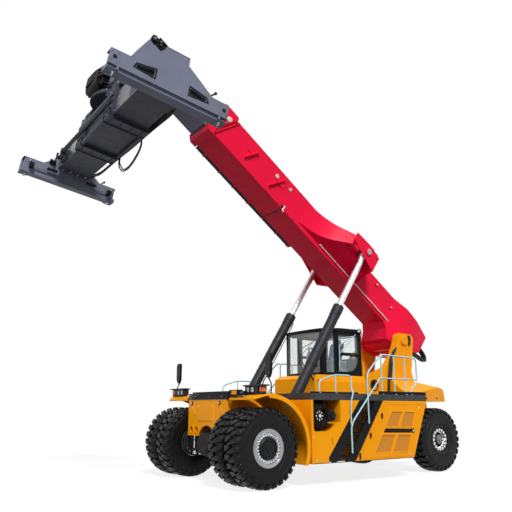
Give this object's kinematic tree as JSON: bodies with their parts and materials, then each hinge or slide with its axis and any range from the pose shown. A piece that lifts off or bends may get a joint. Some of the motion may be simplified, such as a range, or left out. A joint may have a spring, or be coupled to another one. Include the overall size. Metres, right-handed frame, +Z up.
{
  "type": "reach stacker",
  "caption": "Rubber-tyred container handler: telescopic boom on two lift cylinders, slewing telescopic spreader, central cab, twin front drive wheels, rear steering.",
  "frame": {"origin": "bottom centre of the whole machine's box, on the ground", "axes": "+Z up, front of the machine (spreader) towards -Y, left side of the machine +X"},
  "size_m": [6.06, 11.416, 10.3933],
  "materials": {
    "black_paint": "satin black enamel",
    "boom_red": "gloss red enamel",
    "cast_black": "painted casting",
    "chrome_rod": "ground and polished hard chrome",
    "dark_plastic": "grained dark plastic",
    "lamp_housing": "lamp housing",
    "pin_steel": "bare machined steel",
    "rail_paint": "pale blue-green enamel",
    "rim_black": "satin black enamel",
    "rim_silver": "silver enamel",
    "seat_fabric": "woven blue cover",
    "spreader_slate": "satin slate grey enamel",
    "tyre_rubber": "matt black rubber",
    "window_glass": "clear pale green safety glass",
    "yellow_paint": "semi-gloss orange-yellow enamel"
  },
  "bodies": {
    "chassis": {"boom_brackets": "yellow_paint", "boom_pivot_pin": "pin_steel", "cab_base": "yellow_paint", "cab_frame": "black_paint", "cab_glass": "window_glass", "cab_roof": "black_paint", "chassis_frame": "yellow_paint", "counterweight": "yellow_paint", "deck": "black_paint", "drive_axle": "cast_black", "engine_block": "cast_black", "front_fenders": "yellow_paint", "front_lamps": "lamp_housing", "front_plate": "yellow_paint", "handrails": "rail_paint", "hydraulic_unit": "cast_black", "ladders": "black_paint", "mirrors": "black_paint", "operator_seat": "seat_fabric", "rear_hood": "yellow_paint", "side_body_left": "yellow_paint", "side_body_right": "yellow_paint", "steer_axle": "cast_black", "steering_console": "dark_plastic"},
    "front_wheel_left": {"front_tyres_left": "tyre_rubber", "front_rim_left": "rim_silver"},
    "steer_knuckle_left": {"steer_knuckle_left": "cast_black"},
    "rear_wheel_left": {"rear_tyre_left": "tyre_rubber", "rear_rim_left": "rim_black"},
    "cab_door_left": {"cab_door_left": "black_paint", "door_glass_left": "window_glass"},
    "lift_barrel_left": {"lift_barrel_left": "black_paint"},
    "lift_rod_left": {"lift_rod_left": "chrome_rod"},
    "spreader_end_left": {"end_beam_left": "spreader_slate", "twistlocks_left": "pin_steel"},
    "front_wheel_right": {"front_tyres_right": "tyre_rubber", "front_rim_right": "rim_silver"},
    "steer_knuckle_right": {"steer_knuckle_right": "cast_black"},
    "rear_wheel_right": {"rear_tyre_right": "tyre_rubber", "rear_rim_right": "rim_black"},
    "cab_door_right": {"cab_door_right": "black_paint", "door_glass_right": "window_glass"},
    "lift_barrel_right": {"lift_barrel_right": "black_paint"},
    "lift_rod_right": {"lift_rod_right": "chrome_rod"},
    "spreader_end_right": {"end_beam_right": "spreader_slate", "twistlocks_right": "pin_steel"},
    "boom": {"boom_outer": "boom_red", "cable_tray": "black_paint"},
    "boom_section": {"boom_inner": "spreader_slate"},
    "yoke": {"yoke": "spreader_slate"},
    "slew_carrier": {"slew_carrier": "spreader_slate"},
    "main_beam": {"main_beam": "spreader_slate"}
  },
  "joints": [
    {"name": "front_wheel_left_spin", "type": "hinge", "parent": "chassis", "child": "front_wheel_left", "pos_m": [1.515, -1.45279, 0.81], "axis": [1, 0, 0], "continuous": true},
    {"name": "front_wheel_right_spin", "type": "hinge", "parent": "chassis", "child": "front_wheel_right", "pos_m": [-1.515, -1.45279, 0.81], "axis": [1, 0, 0], "continuous": true},
    {"name": "steer_left", "type": "hinge", "parent": "chassis", "child": "steer_knuckle_left", "pos_m": [0.98, 4.54721, 0.81], "axis": [0, 0, 1], "range_deg": [-50, 50]},
    {"name": "rear_wheel_left_spin", "type": "hinge", "parent": "steer_knuckle_left", "child": "rear_wheel_left", "pos_m": [1.38, 4.54721, 0.81], "axis": [1, 0, 0], "continuous": true},
    {"name": "steer_right", "type": "hinge", "parent": "chassis", "child": "steer_knuckle_right", "pos_m": [-0.98, 4.54721, 0.81], "axis": [0, 0, 1], "range_deg": [-50, 50]},
    {"name": "rear_wheel_right_spin", "type": "hinge", "parent": "steer_knuckle_right", "child": "rear_wheel_right", "pos_m": [-1.38, 4.54721, 0.81], "axis": [1, 0, 0], "continuous": true},
    {"name": "boom_lift", "type": "hinge", "parent": "chassis", "child": "boom", "pos_m": [0, 4.24721, 3.46], "axis": [-1, 0, 0], "range_deg": [-36, 24]},
    {"name": "boom_telescope", "type": "slide", "parent": "boom", "child": "boom_section", "axis": [0, -0.809, 0.5878], "range_m": [-1, 5.4]},
    {"name": "spreader_level", "type": "hinge", "parent": "boom_section", "child": "yoke", "pos_m": [0, -4.15318, 9.24433], "axis": [-1, 0, 0], "range_deg": [-24, 36]},
    {"name": "spreader_slew", "type": "hinge", "parent": "yoke", "child": "slew_carrier", "pos_m": [0, -4.27879, 8.41378], "axis": [0, 0.1495, 0.9888], "range_deg": [-105, 195]},
    {"name": "side_shift", "type": "slide", "parent": "slew_carrier", "child": "main_beam", "axis": [-1, 0, 0], "range_m": [-0.8, 0.8]},
    {"name": "spreader_extend_left", "type": "slide", "parent": "main_beam", "child": "spreader_end_left", "axis": [1, 0, 0], "range_m": [0, 3.07]},
    {"name": "spreader_extend_right", "type": "slide", "parent": "main_beam", "child": "spreader_end_right", "axis": [-1, 0, 0], "range_m": [0, 3.07]},
    {"name": "lift_barrel_left_swing", "type": "hinge", "parent": "chassis", "child": "lift_barrel_left", "pos_m": [0.985, -0.25279, 1.28], "axis": [-1, 0, 0], "range_deg": [-10, 10]},
    {"name": "lift_rod_left_stroke", "type": "slide", "parent": "lift_barrel_left", "child": "lift_rod_left", "axis": [0, 0.5442, 0.8389], "range_m": [-1.65, 1.2]},
    {"name": "lift_barrel_right_swing", "type": "hinge", "parent": "chassis", "child": "lift_barrel_right", "pos_m": [-0.985, -0.25279, 1.28], "axis": [-1, 0, 0], "range_deg": [-10, 10]},
    {"name": "lift_rod_right_stroke", "type": "slide", "parent": "lift_barrel_right", "child": "lift_rod_right", "axis": [0, 0.5442, 0.8389], "range_m": [-1.65, 1.2]},
    {"name": "cab_door_left_swing", "type": "hinge", "parent": "chassis", "child": "cab_door_left", "pos_m": [0.768, 2.53921, 3], "axis": [0, 0, 1], "range_deg": [0, 80]},
    {"name": "cab_door_right_swing", "type": "hinge", "parent": "chassis", "child": "cab_door_right", "pos_m": [-0.768, 2.53921, 3], "axis": [0, 0, -1], "range_deg": [0, 80]}
  ],
  "couplings": [
    {"joint": "steer_right", "follows": "steer_left", "ratio": 1},
    {"joint": "spreader_level", "follows": "boom_lift", "ratio": -1},
    {"joint": "spreader_extend_right", "follows": "spreader_extend_left", "ratio": 1},
    {"joint": "lift_barrel_left_swing", "follows": "boom_lift", "ratio": 0.14},
    {"joint": "lift_rod_left_stroke", "follows": "boom_lift", "m_per_rad": 2.5},
    {"joint": "lift_barrel_right_swing", "follows": "boom_lift", "ratio": 0.14},
    {"joint": "lift_rod_right_stroke", "follows": "boom_lift", "m_per_rad": 2.5}
  ]
}
